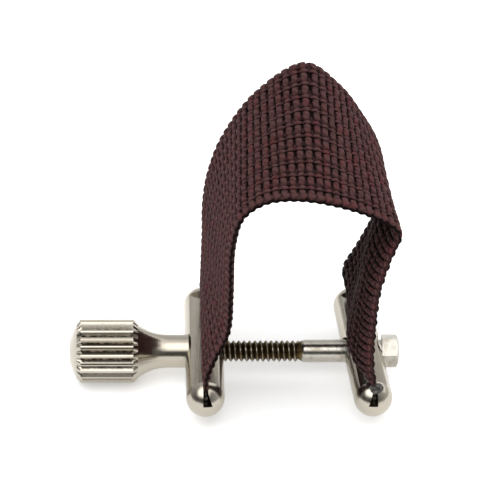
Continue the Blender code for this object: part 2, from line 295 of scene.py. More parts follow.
def cut(piece, tool, operation="DIFFERENCE"):
    """Cut, trim or join a piece with a tool shape, and throw the tool away."""
    apply_modifier(piece, "BOOLEAN", object=tool, operation=operation, solver="EXACT")
    bpy.data.objects.remove(tool)


def soften(piece, width, segments=2, angle=30.0):
    """Round off a piece's sharp edges a little, as polishing does."""
    apply_modifier(
        piece, "BEVEL", width=width, segments=segments, limit_method="ANGLE",
        angle_limit=math.radians(angle), use_clamp_overlap=True, harden_normals=False,
    )


def move(piece, place=(0, 0, 0), yaw=0.0):
    """Turn a piece about Z, move it and apply both, so that its object stays at the origin."""
    only(piece)
    piece.rotation_euler.z = yaw
    piece.location = place
    bpy.ops.object.transform_apply(location=True, rotation=True, scale=True)


def smooth(piece, angle=30.0):
    """Merge doubles, point faces outward and shade smooth up to an angle."""
    only(piece)
    bpy.ops.object.mode_set(mode="EDIT")
    bpy.ops.mesh.select_all(action="SELECT")
    bpy.ops.mesh.remove_doubles(threshold=SAME_PLACE)
    bpy.ops.mesh.normals_make_consistent(inside=False)
    bpy.ops.object.mode_set(mode="OBJECT")
    bpy.ops.object.shade_smooth_by_angle(angle=math.radians(angle))
    apply_modifier(piece, "WEIGHTED_NORMAL", mode="FACE_AREA_WITH_ANGLE", weight=80, keep_sharp=True)


def hand_over(piece, finish, slot, body, *nodes):
    """Give a piece its material, let it ride on its body and stand for its nodes. The slot is not used."""
    piece.data.materials.clear()
    piece.data.materials.append(finish)
    if body:
        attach(piece, body)
    if nodes:
        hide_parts(*nodes)


# ---------------------------------------------------------------- materials


def add(tree, kind, feeds=(), **settings):
    """Add a node with its settings, and feed each input from a socket or with a value."""
    made = tree.nodes.new(kind)
    for key, value in settings.items():
        setattr(made, key, value)
    for name, feed in dict(feeds).items():
        if isinstance(feed, bpy.types.NodeSocket):
            tree.links.new(feed, made.inputs[name])
        else:
            made.inputs[name].default_value = feed
    return made


def start_material(name, **sockets):
    """A material with a Principled shader whose plain sockets are set; returns it, its tree and shader."""
    made = bpy.data.materials.new(name)
    made.use_nodes = True
    shader = made.node_tree.nodes["Principled BSDF"]
    for key, value in sockets.items():
        shader.inputs[key.replace("_", " ")].default_value = value
    return made, made.node_tree, shader


def opaque(values):
    """A colour with full alpha."""
    return (*values, 1.0)


def polished_nickel(colours):
    """Bright nickel plate on turned and milled brass, for the bars.

    The plate is warm white and nearly mirror smooth. Buffing leaves it slightly wavy, so reflections wander,
    and draws fine scratches along the rod. Handling leaves cloudy patches a few millimetres wide.
    """
    patch = 4.0 * MM
    wave_size = 1.1 * MM
    scratch_wide = 0.25 * MM
    scratch_long = 3.0 * MM
    made, tree, shader = start_material("polished_nickel_plate", Metallic=1.0)
    place = add(tree, "ShaderNodeTexCoord").outputs["Object"]
    cloud = add(tree, "ShaderNodeTexNoise", {"Vector": place, "Scale": 1 / patch, "Detail": 3.0})
    tint = add(
        tree, "ShaderNodeMix",
        {0: cloud.outputs["Fac"], 6: opaque(colours.nickel), 7: opaque(colours.nickel_warm)},
        data_type="RGBA",
    )
    tree.links.new(tint.outputs[2], shader.inputs["Base Color"])
    stroke = add(
        tree, "ShaderNodeMapping",
        {"Vector": place, "Scale": (1 / scratch_wide, 1 / scratch_long, 1 / scratch_wide)},
    )
    scratch = add(tree, "ShaderNodeTexNoise", {"Vector": stroke.outputs[0], "Scale": 1.0, "Detail": 4.0})
    rough = add(
        tree, "ShaderNodeMapRange",
        {
            "Value": scratch.outputs["Fac"], "From Min": 0.3, "From Max": 0.75,
            "To Min": 0.17, "To Max": 0.27,
        },
    )
    tree.links.new(rough.outputs[0], shader.inputs["Roughness"])
    wave = add(tree, "ShaderNodeTexNoise", {"Vector": place, "Scale": 1 / wave_size, "Detail": 1.0})
    relief = add(
        tree, "ShaderNodeMath", {0: wave.outputs["Fac"], 1: scratch.outputs["Fac"]}, operation="ADD"
    )
    bump = add(
        tree, "ShaderNodeBump", {"Height": relief.outputs[0], "Strength": 0.2, "Distance": 0.03 * MM}
    )
    tree.links.new(bump.outputs[0], shader.inputs["Normal"])
    return made


def turned_nickel(colours, sizes):
    """Nickel plate on turned brass, for the knob.

    Fine rings from the lathe tool run round it, drawn at 0.3 mm because the real ones are too fine to show,
    and dark oxide sits in specks at the bottom of the flutes.
    """
    ring_pitch = 0.3 * MM
    ring_long = 100 / 3 * MM
    speck_size = 0.5 * MM
    patch = 3.0 * MM
    clean_from = sizes.radius - 0.18 * MM
    darkest_at = sizes.radius - 0.5 * MM
    grip_middle = (sizes.grip_start + sizes.grip_end) / 2
    grip_half = (sizes.grip_end - sizes.grip_start) / 2 - 0.1 * MM
    made, tree, shader = start_material("turned_nickel_plate", Metallic=1.0)
    place = add(tree, "ShaderNodeTexCoord").outputs["Object"]
    centred = add(tree, "ShaderNodeVectorMath", {0: place, 1: tuple(at(0.0))}, operation="SUBTRACT")
    flat = add(tree, "ShaderNodeVectorMath", {0: centred.outputs[0], 1: (0, 1, 1)}, operation="MULTIPLY")
    radius = add(tree, "ShaderNodeVectorMath", {0: flat.outputs[0]}, operation="LENGTH")
    low = add(
        tree, "ShaderNodeMapRange",
        {
            "Value": radius.outputs["Value"], "From Min": darkest_at, "From Max": clean_from,
            "To Min": 1.0, "To Max": 0.0,
        },
    )
    split = add(tree, "ShaderNodeSeparateXYZ", {"Vector": centred.outputs[0]})
    grip = add(
        tree, "ShaderNodeMath", {0: split.outputs["X"], 1: grip_middle, 2: grip_half}, operation="COMPARE"
    )
    speck = add(tree, "ShaderNodeTexNoise", {"Vector": place, "Scale": 1 / speck_size, "Detail": 4.0})
    blotch = add(
        tree, "ShaderNodeMapRange",
        {
            "Value": speck.outputs["Fac"], "From Min": 0.35, "From Max": 0.6,
            "To Min": 0.25, "To Max": 1.0,
        },
    )
    groove = add(tree, "ShaderNodeMath", {0: low.outputs[0], 1: grip.outputs[0]}, operation="MULTIPLY")
    grime = add(tree, "ShaderNodeMath", {0: groove.outputs[0], 1: blotch.outputs[0]}, operation="MULTIPLY")
    cloud = add(tree, "ShaderNodeTexNoise", {"Vector": place, "Scale": 1 / patch, "Detail": 3.0})
    plate = add(
        tree, "ShaderNodeMix",
        {0: cloud.outputs["Fac"], 6: opaque(colours.nickel), 7: opaque(colours.nickel_warm)},
        data_type="RGBA",
    )
    tint = add(
        tree, "ShaderNodeMix",
        {0: grime.outputs[0], 6: plate.outputs[2], 7: opaque(colours.grime)}, data_type="RGBA",
    )
    tree.links.new(tint.outputs[2], shader.inputs["Base Color"])
    rough = add(tree, "ShaderNodeMapRange", {"Value": grime.outputs[0], "To Min": 0.2, "To Max": 0.5})
    tree.links.new(rough.outputs[0], shader.inputs["Roughness"])
    ring = add(
        tree, "ShaderNodeMapping",
        {"Vector": place, "Scale": (1 / ring_pitch, 1 / ring_long, 1 / ring_long)},
    )
    rings = add(tree, "ShaderNodeTexNoise", {"Vector": ring.outputs[0], "Scale": 1.0, "Detail": 3.0})
    bump = add(
        tree, "ShaderNodeBump", {"Height": rings.outputs["Fac"], "Strength": 0.4, "Distance": 0.03 * MM}
    )
    tree.links.new(bump.outputs[0], shader.inputs["Normal"])
    return made


def worn_plate(colours, sizes):
    """Nickel plate worn through on a rolled thread, for the bolt.

    The roots hold dark oil, the flanks show yellow brass, and the crests keep their plate. The shank and the
    head keep it too, with yellow patches where it is thin and rings from turning.
    """
    speck_size = 0.6 * MM
    patch = 1.2 * MM
    ring_pitch = 0.35 * MM
    ring_long = 2.0 * MM
    uneven = 0.1 * MM
    flank_deep = 0.2 * MM
    made, tree, shader = start_material("worn_nickel_on_brass", Metallic=1.0)
    place = add(tree, "ShaderNodeTexCoord").outputs["Object"]
    centred = add(tree, "ShaderNodeVectorMath", {0: place, 1: tuple(at(0.0))}, operation="SUBTRACT")
    flat = add(tree, "ShaderNodeVectorMath", {0: centred.outputs[0], 1: (0, 1, 1)}, operation="MULTIPLY")
    radius = add(tree, "ShaderNodeVectorMath", {0: flat.outputs[0]}, operation="LENGTH")
    speck = add(tree, "ShaderNodeTexNoise", {"Vector": place, "Scale": 1 / speck_size, "Detail": 5.0})
    jitter = add(
        tree, "ShaderNodeMapRange",
        {
            "Value": speck.outputs["Fac"], "From Min": 0.3, "From Max": 0.7,
            "To Min": -uneven, "To Max": uneven,
        },
    )
    depth = add(tree, "ShaderNodeMath", {0: radius.outputs["Value"], 1: jitter.outputs[0]}, operation="ADD")
    split = add(tree, "ShaderNodeSeparateXYZ", {"Vector": centred.outputs[0]})
    plain = add(
        tree, "ShaderNodeMath", {0: split.outputs["X"], 1: sizes.shank_start - 0.2 * MM},
        operation="GREATER_THAN",
    )
    raised = add(
        tree, "ShaderNodeMath", {0: plain.outputs[0], 1: sizes.thread, 2: depth.outputs[0]},
        operation="MULTIPLY_ADD",
    )
    flank = add(
        tree, "ShaderNodeMapRange",
        {"Value": raised.outputs[0], "From Min": sizes.root, "From Max": sizes.root + flank_deep},
    )
    crest = add(
        tree, "ShaderNodeMapRange",
        {
            "Value": raised.outputs[0],
            "From Min": sizes.thread - 0.12 * MM, "From Max": sizes.thread + 0.05 * MM,
        },
    )
    oiled = add(
        tree, "ShaderNodeMix",
        {0: flank.outputs[0], 6: opaque(colours.grime), 7: opaque(colours.brass)}, data_type="RGBA",
    )
    tint = add(
        tree, "ShaderNodeMix",
        {0: crest.outputs[0], 6: oiled.outputs[2], 7: opaque(colours.nickel)}, data_type="RGBA",
    )
    cloud = add(tree, "ShaderNodeTexNoise", {"Vector": place, "Scale": 1 / patch, "Detail": 5.0})
    stain = add(
        tree, "ShaderNodeMapRange",
        {
            "Value": cloud.outputs["Fac"], "From Min": 0.5, "From Max": 0.75,
            "To Min": 0.0, "To Max": 0.6,
        },
    )
    stained = add(
        tree, "ShaderNodeMix",
        {0: stain.outputs[0], 6: tint.outputs[2], 7: opaque(colours.brass)}, data_type="RGBA",
    )
    tree.links.new(stained.outputs[2], shader.inputs["Base Color"])
    rough = add(tree, "ShaderNodeMapRange", {"Value": crest.outputs[0], "To Min": 0.5, "To Max": 0.24})
    tree.links.new(rough.outputs[0], shader.inputs["Roughness"])
    ring = add(
        tree, "ShaderNodeMapping",
        {"Vector": place, "Scale": (1 / ring_pitch, 1 / ring_long, 1 / ring_long)},
    )
    rings = add(tree, "ShaderNodeTexNoise", {"Vector": ring.outputs[0], "Scale": 1.0, "Detail": 4.0})
    bump = add(
        tree, "ShaderNodeBump", {"Height": rings.outputs["Fac"], "Strength": 0.5, "Distance": 0.05 * MM}
    )
    tree.links.new(bump.outputs[0], shader.inputs["Normal"])
    return made


def cured_adhesive(colours):
    """Smeared and cured adhesive: grey, lumpy and half glossy, with darker fibres caught in it."""
    lump_size = 0.35 * MM
    made, tree, shader = start_material("cured_adhesive_smear", Metallic=0.0, Roughness=0.42)
    place = add(tree, "ShaderNodeTexCoord").outputs["Object"]
    lumps = add(tree, "ShaderNodeTexNoise", {"Vector": place, "Scale": 1 / lump_size, "Detail": 5.0})
    shade = add(
        tree, "ShaderNodeMapRange", {"Value": lumps.outputs["Fac"], "From Min": 0.35, "From Max": 0.65}
    )
    tint = add(
        tree, "ShaderNodeMix",
        {0: shade.outputs[0], 6: opaque(colours.yarn_dark), 7: opaque(colours.adhesive)}, data_type="RGBA",
    )
    tree.links.new(tint.outputs[2], shader.inputs["Base Color"])
    bump = add(
        tree, "ShaderNodeBump", {"Height": lumps.outputs["Fac"], "Strength": 0.8, "Distance": 0.12 * MM}
    )
    tree.links.new(bump.outputs[0], shader.inputs["Normal"])
    return made


def nylon_cord(name, colours, darken):
    """Dyed and twisted multifilament nylon, for the strap's yarns.

    Two plies wind round each other once in 1.5 mm, and the bundle of fibres has a trace of sheen. The sides
    that face the next yarn are painted darker as shade, the grooves between the plies are painted darker and
    the ply crests lighter as shade and highlight, the dye varies from yarn to yarn, and redder fibres show
    here and there. The yarn's dye attribute also carries the weave's painted shade and light. The yarn's UV
    holds the share of the way round it and the millimetres along it.
    """
    plies = 2
    lay = 1.5
    patch = 1.6 * MM
    # Painted shade: how much darker the sides of a yarn are that face away from the top of its tube.
    side_shade = 0.65
    # Painted shade in the grooves between the plies, with painted highlight on the ply crests.
    groove_shade = -0.2
    made, tree, shader = start_material(
        name, Metallic=0.0, Roughness=0.7, Sheen_Weight=0.01, Sheen_Roughness=0.5,
        Specular_IOR_Level=0.06,
    )
    uv = add(tree, "ShaderNodeUVMap", uv_map="yarn")
    split = add(tree, "ShaderNodeSeparateXYZ", {"Vector": uv.outputs[0]})
    round_it = add(
        tree, "ShaderNodeMath", {0: split.outputs["X"], 1: -math.tau * plies}, operation="MULTIPLY"
    )
    wound = add(
        tree, "ShaderNodeMath",
        {0: split.outputs["Y"], 1: math.tau / lay * plies, 2: round_it.outputs[0]},
        operation="MULTIPLY_ADD",
    )
    ply = add(tree, "ShaderNodeMath", {0: wound.outputs[0]}, operation="SINE")
    place = add(tree, "ShaderNodeTexCoord").outputs["Object"]
    # The attribute holds each yarn's dye together with the weave's painted shade and light.
    dye_and_shade = add(tree, "ShaderNodeAttribute", attribute_name="dye_and_shade")
    cloud = add(tree, "ShaderNodeTexNoise", {"Vector": place, "Scale": 1 / patch, "Detail": 4.0})
    fleck = add(
        tree, "ShaderNodeMapRange",
        {
            "Value": cloud.outputs["Fac"], "From Min": 0.48, "From Max": 0.66,
            "To Min": 0.0, "To Max": 0.8,
        },
    )
    warm = add(
        tree, "ShaderNodeMix",
        {0: fleck.outputs[0], 6: opaque(colours.yarn), 7: opaque(colours.yarn_red)}, data_type="RGBA",
    )
    around = add(tree, "ShaderNodeMath", {0: split.outputs["X"], 1: math.tau}, operation="MULTIPLY")
    upward = add(tree, "ShaderNodeMath", {0: around.outputs[0]}, operation="SINE")
    # Painted shade: darker towards the sides of the yarn, away from the top of its tube.
    flank = add(
        tree, "ShaderNodeMapRange",
        {
            "Value": upward.outputs[0], "From Min": 0.1, "From Max": 0.85,
            "To Min": darken + side_shade, "To Max": darken,
        },
    )
    # Adds painted shade in the ply grooves and painted highlight on the ply crests to the side shade.
    grain = add(
        tree, "ShaderNodeMath", {0: ply.outputs[0], 1: groove_shade, 2: flank.outputs[0]},
        operation="MULTIPLY_ADD",
    )
    deep = add(
        tree, "ShaderNodeMath", {0: grain.outputs[0], 1: dye_and_shade.outputs["Fac"]}, operation="ADD",
        use_clamp=True,
    )
    tint = add(
        tree, "ShaderNodeMix",
        {0: deep.outputs[0], 6: warm.outputs[2], 7: opaque(colours.yarn_dark)}, data_type="RGBA",
    )
    tree.links.new(tint.outputs[2], shader.inputs["Base Color"])
    bump = add(
        tree, "ShaderNodeBump", {"Height": ply.outputs[0], "Strength": 0.6, "Distance": 0.03 * MM}
    )
    tree.links.new(bump.outputs[0], shader.inputs["Normal"])
    return made


def melted_nylon(colours):
    """Strap end sealed with a hot knife: the fibres run together into a dark, slightly glossy crust."""
    crust_size = 0.5 * MM
    made, tree, shader = start_material("melted_nylon", Metallic=0.0, Roughness=0.4)
    place = add(tree, "ShaderNodeTexCoord").outputs["Object"]
    crust = add(tree, "ShaderNodeTexNoise", {"Vector": place, "Scale": 1 / crust_size, "Detail": 5.0})
    tint = add(
        tree, "ShaderNodeMix",
        {0: crust.outputs["Fac"], 6: opaque(linear("#0c0707")), 7: opaque(colours.yarn_dark)},
        data_type="RGBA",
    )
    tree.links.new(tint.outputs[2], shader.inputs["Base Color"])
    bump = add(
        tree, "ShaderNodeBump", {"Height": crust.outputs["Fac"], "Strength": 0.7, "Distance": 0.1 * MM}
    )
    tree.links.new(bump.outputs[0], shader.inputs["Normal"])
    return made


def stuffer_shade_cloth():
    """Thick matt nylon stuffer threads in the strap's middle, coloured near black as painted shade for the
    gaps in the weave.
    """
    thread_size = 0.5 * MM
    made, tree, shader = start_material(
        "nylon_stuffer_painted_shade", Metallic=0.0, Roughness=0.95, Specular_IOR_Level=0.0
    )
    place = add(tree, "ShaderNodeTexCoord").outputs["Object"]
    thread = add(tree, "ShaderNodeTexNoise", {"Vector": place, "Scale": 1 / thread_size, "Detail": 2.0})
    tint = add(
        tree, "ShaderNodeMix",
        {0: thread.outputs["Fac"], 6: opaque(linear("#0d0706")), 7: opaque(linear("#1a0e0e"))},
        data_type="RGBA",
    )
    tree.links.new(tint.outputs[2], shader.inputs["Base Color"])
    return made


def glowing_board(settings):
    """Matt white board lit from below, which keeps shadows faint, with a very soft grain of 25 mm."""
    grain_size = 25.0 * MM
    made, tree, shader = start_material(
        "matt_white_board", Metallic=0.0, Roughness=0.9, Specular_IOR_Level=0.1, Emission_Strength=0.4,
        Emission_Color=(1.0, 1.0, 1.0, 1.0),
    )
    place = add(tree, "ShaderNodeTexCoord").outputs["Object"]
    grain = add(tree, "ShaderNodeTexNoise", {"Vector": place, "Scale": 1 / grain_size, "Detail": 3.0})
    tint = add(
        tree, "ShaderNodeMix",
        {0: grain.outputs["Fac"], 6: opaque(settings.floor), 7: opaque(linear("#f4f4f4"))},
        data_type="RGBA",
    )
    tree.links.new(tint.outputs[2], shader.inputs["Base Color"])
    return made


# ---------------------------------------------------------------- metal pieces


def bar_blank(name, sizes):
    """Rod along Y with a dome at each end."""
    sides = 96
    steps = 14
    dome = [
        (sizes.half + sizes.radius * math.cos(angle), sizes.radius * math.sin(angle))
        for angle in (math.pi / 2 * step / steps for step in range(1, steps + 1))
    ]
    stations = [(-along, radius) for along, radius in dome]
    stations += [(along, radius) for along, radius in reversed(dome)]
    blank = turned(name, stations, sides)
    move(blank, yaw=math.pi / 2)
    return blank


def round_flat_edges(bar, sizes):
    """Bevel the two long edges where the milled flat meets the rod."""
    def on_rim(vert):
        """Whether a point lies where the flat meets the rod."""
        return abs(vert.co.z - sizes.flat) < SAME_PLACE and abs(vert.co.x) > sizes.radius / 2

    only(bar)
    bpy.ops.object.mode_set(mode="EDIT")
    pick(
        bar, "EDGE",
        lambda edge: all(on_rim(vert) for vert in edge.verts)
        and abs(edge.verts[0].co.y - edge.verts[1].co.y) > sizes.half / 2,
    )
    bpy.ops.mesh.bevel(offset=sizes.edge, segments=4, affect="EDGES")
    bpy.ops.object.mode_set(mode="OBJECT")


def slot_tool(sizes, outer):
    """Cutter of a slot: one wall upright, the other undercut below the flat."""
    beyond = sizes.half + sizes.radius * 2
    left = -sizes.slot_mouth / 2
    tool = block((left, -beyond, sizes.slot_height), (left + sizes.slot_mouth, beyond, sizes.flat))
    only(tool)
    bpy.ops.object.mode_set(mode="EDIT")
    pick(tool, "VERT", lambda vert: vert.co.x > 0 and vert.co.z < sizes.flat - MM)
    bpy.ops.transform.translate(value=(sizes.slot_floor - sizes.slot_mouth, 0, 0))
    pick(tool, "FACE", lambda face: face.normal.z > 0.9)
    bpy.ops.mesh.extrude_region_move(TRANSFORM_OT_translate={"value": (0, 0, sizes.radius)})
    bpy.ops.object.mode_set(mode="OBJECT")
    if outer > 0:
        tool.scale.x = -1
        bpy.ops.object.transform_apply(scale=True)
    bpy.ops.object.mode_set(mode="EDIT")
    bpy.ops.mesh.select_all(action="SELECT")
    bpy.ops.mesh.normals_make_consistent(inside=False)
    bpy.ops.object.mode_set(mode="OBJECT")
    return tool


def hole_tool(sizes, play):
    """Cutter of the hole for the bolt, drawn out sideways by the play."""
    bpy.ops.object.select_all(action="DESELECT")
    bpy.ops.mesh.primitive_cylinder_add(
        vertices=64, radius=sizes.hole / 2, depth=sizes.radius * 4, rotation=(0, math.pi / 2, 0)
    )
    tool = bpy.context.object
    bpy.ops.object.transform_apply(rotation=True)
    bpy.ops.object.mode_set(mode="EDIT")
    for side in (-1, 1):
        pick(tool, "VERT", lambda vert, side=side: vert.co.y * side > SAME_PLACE)
        bpy.ops.transform.translate(value=(0, side * play / 2, 0))
    bpy.ops.object.mode_set(mode="OBJECT")
    return tool


def make_bar(name, sizes, outer, play, seat):
    """One slotted bar about the origin.

    Its outer side is -1 or 1 along X, and has a round seat of a depth and radius.
    """
    bar = bar_blank(name, sizes)
    wide = sizes.radius * 2
    cut(bar, block((-wide, -sizes.half, sizes.flat), (wide, sizes.half, wide)))
    round_flat_edges(bar, sizes)
    depth, radius = seat
    face = sizes.radius - depth
    bpy.ops.object.select_all(action="DESELECT")
    bpy.ops.mesh.primitive_cylinder_add(
        vertices=96, radius=radius, depth=wide, location=(outer * (face + wide / 2), 0, 0),
        rotation=(0, math.pi / 2, 0),
    )
    bpy.ops.object.transform_apply(location=True, rotation=True)
    cut(bar, bpy.context.object)
    cut(bar, slot_tool(sizes, outer))
    cut(bar, hole_tool(sizes, play))
    soften(bar, 0.05 * MM, angle=40.0)
    smooth(bar)
    return bar


class LIGATURE_OT_bars(bpy.types.Operator):
    """Turn, mill and slot the two bars"""

    bl_idname = "ligature.bars"
    bl_label = "Slotted bars"

    def execute(self, context):
        sizes = context.scene.ligature_bars
        finish = polished_nickel(context.scene.ligature_colours)
        for name, x, yaw, outer, play, seat in (
            ("left_bar", 0.0, 0.0, -1, 0.0, (sizes.seat_depth, sizes.seat_radius)),
            ("right_bar", BAR_GAP, sizes.yaw, 1, sizes.play, (sizes.spot_depth, sizes.spot_radius)),
        ):
            bar = make_bar(name + "_slotted", sizes, outer, play, seat)
            move(bar, at(x), yaw)
            hand_over(bar, finish, "nickel_plate", name, name)
        return {"FINISHED"}


def thread_ridge(sizes):
    """Right-hand V ridge wound round the bolt, with a flattened crest and filled ends."""
    half = sizes.pitch / 2
    steps = 28
    bpy.ops.object.select_all(action="DESELECT")
    bpy.ops.mesh.primitive_circle_add(
        vertices=4, radius=half, fill_type="NOTHING", location=(sizes.end, 0, sizes.root),
        rotation=(math.pi / 2, 0, 0),
    )
    ridge = bpy.context.object
    bpy.ops.object.transform_apply(location=True, rotation=True)
    bpy.ops.object.mode_set(mode="EDIT")
    bpy.ops.mesh.select_all(action="SELECT")
    depth = sizes.thread + sizes.crest * 0.6 - sizes.root
    bpy.ops.transform.resize(value=(0.98, 1, depth / half), center_override=(sizes.end, 0, sizes.root))
    pick(ridge, "VERT", lambda vert: vert.co.z > sizes.root + depth / 2)
    bpy.ops.mesh.bevel(offset=sizes.crest, segments=1, affect="VERTICES")
    bpy.ops.object.mode_set(mode="OBJECT")
    turns = int((sizes.run_out - sizes.end) / sizes.pitch)
    apply_modifier(
        ridge, "SCREW", axis="X", angle=math.tau, screw_offset=sizes.pitch, iterations=turns,
        steps=steps, render_steps=steps, use_merge_vertices=False, use_normal_calculate=True,
    )
    only(ridge)
    bpy.ops.object.mode_set(mode="EDIT")
    bpy.ops.mesh.select_mode(type="EDGE")
    bpy.ops.mesh.select_all(action="SELECT")
    bpy.ops.mesh.remove_doubles(threshold=SAME_PLACE)
    bpy.ops.mesh.select_all(action="DESELECT")
    bpy.ops.mesh.select_non_manifold()
    bpy.ops.mesh.edge_face_add()
    bpy.ops.object.mode_set(mode="OBJECT")
    return ridge


def hexagon_head(sizes):
    """Hexagon head with its corners chamfered by a turned blank."""
    corner = sizes.across_flats / math.sqrt(3)
    tall = sizes.head_end - sizes.head_start
    bpy.ops.object.select_all(action="DESELECT")
    bpy.ops.mesh.primitive_cylinder_add(
        vertices=6, radius=corner, depth=tall,
        location=((sizes.head_start + sizes.head_end) / 2, 0, 0), rotation=(0, math.pi / 2, 0),
    )
    head = bpy.context.object
    bpy.ops.object.transform_apply(location=True, rotation=True)
    only(head)
    head.rotation_euler.x = sizes.head_turn + math.pi / 6
    bpy.ops.object.transform_apply(rotation=True)
    wide = corner + sizes.chamfer
    blank = turned(
        "head_blank",
        (
            (sizes.head_start - tall, wide),
            (sizes.head_end - sizes.chamfer, corner),
            (sizes.head_end + tall / 4, corner - 2 * sizes.chamfer - tall / 2),
        ),
        96,
    )
    cut(head, blank, "INTERSECT")
    soften(head, 0.07 * MM, segments=2, angle=20.0)
    return head


class LIGATURE_OT_bolt(bpy.types.Operator):
    """Turn the bolt, wind its thread and join its hexagon head"""

    bl_idname = "ligature.bolt"
    bl_label = "Bolt"

    def execute(self, context):
        sizes = context.scene.ligature_bolt
        tip = 0.3 * MM
        step = 0.06 * MM
        stations = (
            (sizes.end - tip, sizes.root - tip),
            (sizes.end, sizes.root),
            (sizes.run_out - 0.5 * MM, sizes.root),
            (sizes.run_out - 0.2 * MM, sizes.root + step),
            (sizes.shank_start - 0.1 * MM, sizes.shank - step),
            (sizes.shank_start, sizes.shank),
            ((sizes.shank_start + sizes.head_start) / 2, sizes.shank),
            ((sizes.head_start + sizes.head_end) / 2, sizes.shank),
        )
        bolt = turned("bolt_threaded", stations, 64)
        cut(bolt, hexagon_head(sizes), "UNION")
        ridge = thread_ridge(sizes)
        bpy.ops.object.select_all(action="DESELECT")
        ridge.select_set(True)
        bolt.select_set(True)
        bpy.context.view_layer.objects.active = bolt
        bpy.ops.object.join()
        move(bolt, at(0.0))
        smooth(bolt, 32.0)
        finish = worn_plate(context.scene.ligature_colours, sizes)
        hand_over(bolt, finish, "worn_nickel_plate", "bolt", "bolt")
        return {"FINISHED"}


# Share of a flute's depth at the columns of points from one ridge to the next.
FLUTE_PROFILE = (0.0, 0.12, 0.58, 1.0, 0.58, 0.12)
# The domed end, as places past its middle and radii, in millimetres.
DOMED_END = ((0.0, 1.42), (0.06, 1.6), (0.26, 2.2), (0.48, 2.75), (0.68, 3.18))


def flute_grip(knob, sizes):
    """Draw the grip's columns in between the ridges, which leaves V flutes with rounded ridges."""
    steps = len(FLUTE_PROFILE)

    def on_column(vert, wanted):
        """Whether a point is on the grip, and on the wanted column of its flute."""
        column = round(math.atan2(vert.co.z, vert.co.y) / math.tau * sizes.flutes * steps) % steps
        along = sizes.grip_start - SAME_PLACE < vert.co.x < sizes.grip_end + SAME_PLACE
        return along and column == wanted and math.hypot(vert.co.y, vert.co.z) > sizes.bore * 1.5

    only(knob)
    bpy.ops.object.mode_set(mode="EDIT")
    for wanted, depth in enumerate(FLUTE_PROFILE):
        pick(knob, "VERT", lambda vert, wanted=wanted: on_column(vert, wanted))
        ratio = 1 - depth * sizes.flute / sizes.radius
        bpy.ops.transform.resize(value=(1, ratio, ratio), center_override=(0, 0, 0))
    bpy.ops.object.mode_set(mode="OBJECT")


class LIGATURE_OT_knob(bpy.types.Operator):
    """Turn the thumb knob and flute its grip"""

    bl_idname = "ligature.knob"
    bl_label = "Thumb knob"

    def execute(self, context):
        sizes = context.scene.ligature_knob
        valley = sizes.radius - sizes.flute
        land = 0.3 * MM
        stations = [(sizes.end + along * MM, radius * MM) for along, radius in DOMED_END]
        stations += [
            (sizes.grip_start - 0.5 * MM, valley - 0.06 * MM),
            (sizes.grip_start, sizes.radius),
            (sizes.grip_start + land, sizes.radius),
            (sizes.grip_end - land, sizes.radius),
            (sizes.grip_end, sizes.radius),
            (sizes.grip_end + 0.6 * MM, valley - 0.05 * MM),
        ]
        flare_start = sizes.grip_end + 0.7 * MM
        rise = valley - 0.12 * MM - sizes.neck
        hollow = 2.2
        steps = 12
        for step in range(steps + 1):
            share = step / steps
            stations.append((flare_start + sizes.flare * share, sizes.neck + rise * (1 - share) ** hollow))
        lip = 0.1 * MM
        stations += [
            (sizes.neck_end - lip, sizes.neck),
            (sizes.neck_end, sizes.neck - lip),
            (sizes.neck_end, sizes.bore),
            (sizes.bore_floor, sizes.bore),
            (sizes.bore_floor, sizes.bore / 20),
        ]
        knob = turned("knob_fluted", stations, sizes.flutes * len(FLUTE_PROFILE))
        flute_grip(knob, sizes)
        only(knob)
        knob.rotation_euler.x = sizes.turn
        move(knob, at(0.0))
        smooth(knob, 28.0)
        finish = turned_nickel(context.scene.ligature_colours, sizes)
        hand_over(knob, finish, "nickel_plate", "knob", "knob")
        return {"FINISHED"}


# ---------------------------------------------------------------- adhesive and strap ends


def lump(name, low, high, cuts, roughness, seed):
    """Lumpy bar of stuff along Y between two corners, cut into short lengths before it is roughened."""
    piece = block(low, high)
    piece.name = name
    only(piece)
    bpy.ops.object.mode_set(mode="EDIT")
    pick(piece, "EDGE", lambda edge: abs(edge.verts[0].co.y - edge.verts[1].co.y) > SAME_PLACE)
    bpy.ops.mesh.subdivide(number_cuts=cuts)
    bpy.ops.mesh.select_all(action="SELECT")
    bpy.ops.mesh.subdivide(number_cuts=1)
    bpy.ops.transform.vertex_random(offset=roughness, uniform=0.2, normal=0.6, seed=seed)
    bpy.ops.object.mode_set(mode="OBJECT")
    apply_modifier(piece, "SUBSURF", levels=1, render_levels=1)
    return piece


